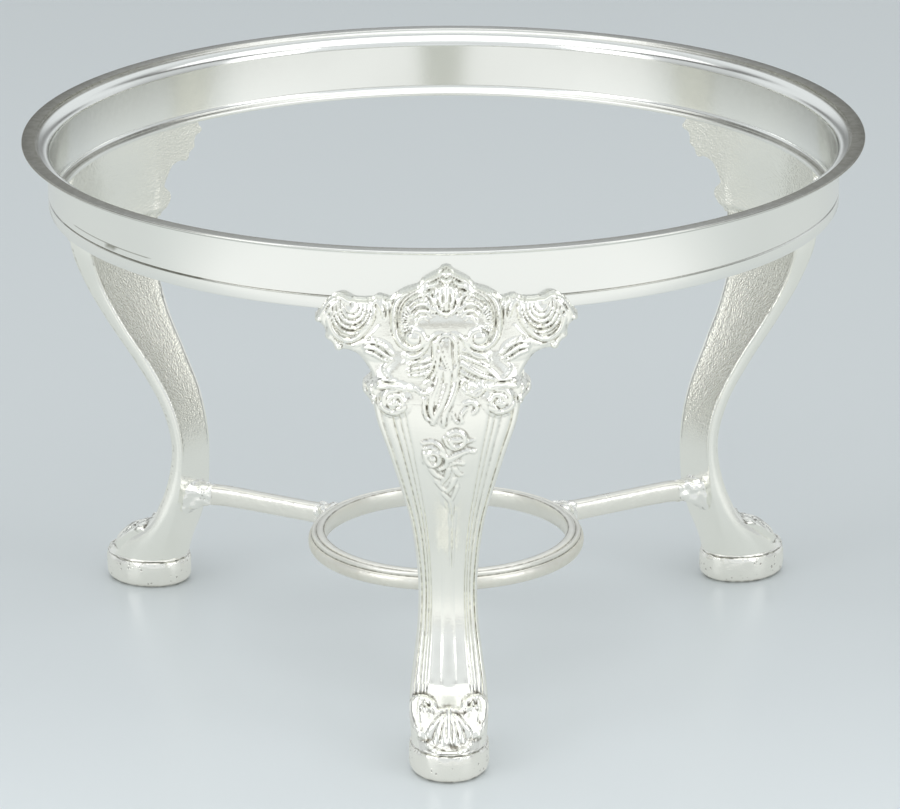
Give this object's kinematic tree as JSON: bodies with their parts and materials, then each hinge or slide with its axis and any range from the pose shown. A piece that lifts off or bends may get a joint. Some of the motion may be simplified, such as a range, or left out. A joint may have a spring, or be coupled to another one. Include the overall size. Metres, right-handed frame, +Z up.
{
  "type": "chafing dish stand",
  "caption": "Round warming stand for a chafing dish: a flared collar on cast scroll legs with oval foot pads, and stretcher arms that carry a burner ring.",
  "frame": {"origin": "the collar's axis where it meets the plane that the feet stand on", "axes": "+Z up along the collar's axis, -Y towards the front leg; the other legs are at 120 degrees either side of it"},
  "size_m": [0.3, 0.3, 0.1917],
  "materials": {
    "spun_plate": "silver plate, polished, faint spun lines",
    "drawn_plate": "silver plate, polished, lightly tarnished in the grooves",
    "cast_plate": "silver plate over a casting, bright high spots, warm recesses",
    "pad_plate": "silver plate, polished, soft scratches",
    "solder": "plated solder, pitted and slightly dull"
  },
  "bodies": {
    "root": {"collar": "spun_plate", "burner_ring": "drawn_plate", "leg_front": "cast_plate", "leg_right": "cast_plate", "leg_left": "cast_plate", "foot_pad_front": "pad_plate", "foot_pad_right": "pad_plate", "foot_pad_left": "pad_plate", "foot_seam_front": "solder", "foot_seam_right": "solder", "foot_seam_left": "solder", "stretcher_arm_front": "drawn_plate", "stretcher_arm_right": "drawn_plate", "stretcher_arm_left": "drawn_plate", "leg_solder_front": "solder", "leg_solder_right": "solder", "leg_solder_left": "solder", "ring_solder_front": "solder", "ring_solder_right": "solder", "ring_solder_left": "solder"}
  },
  "joints": []
}
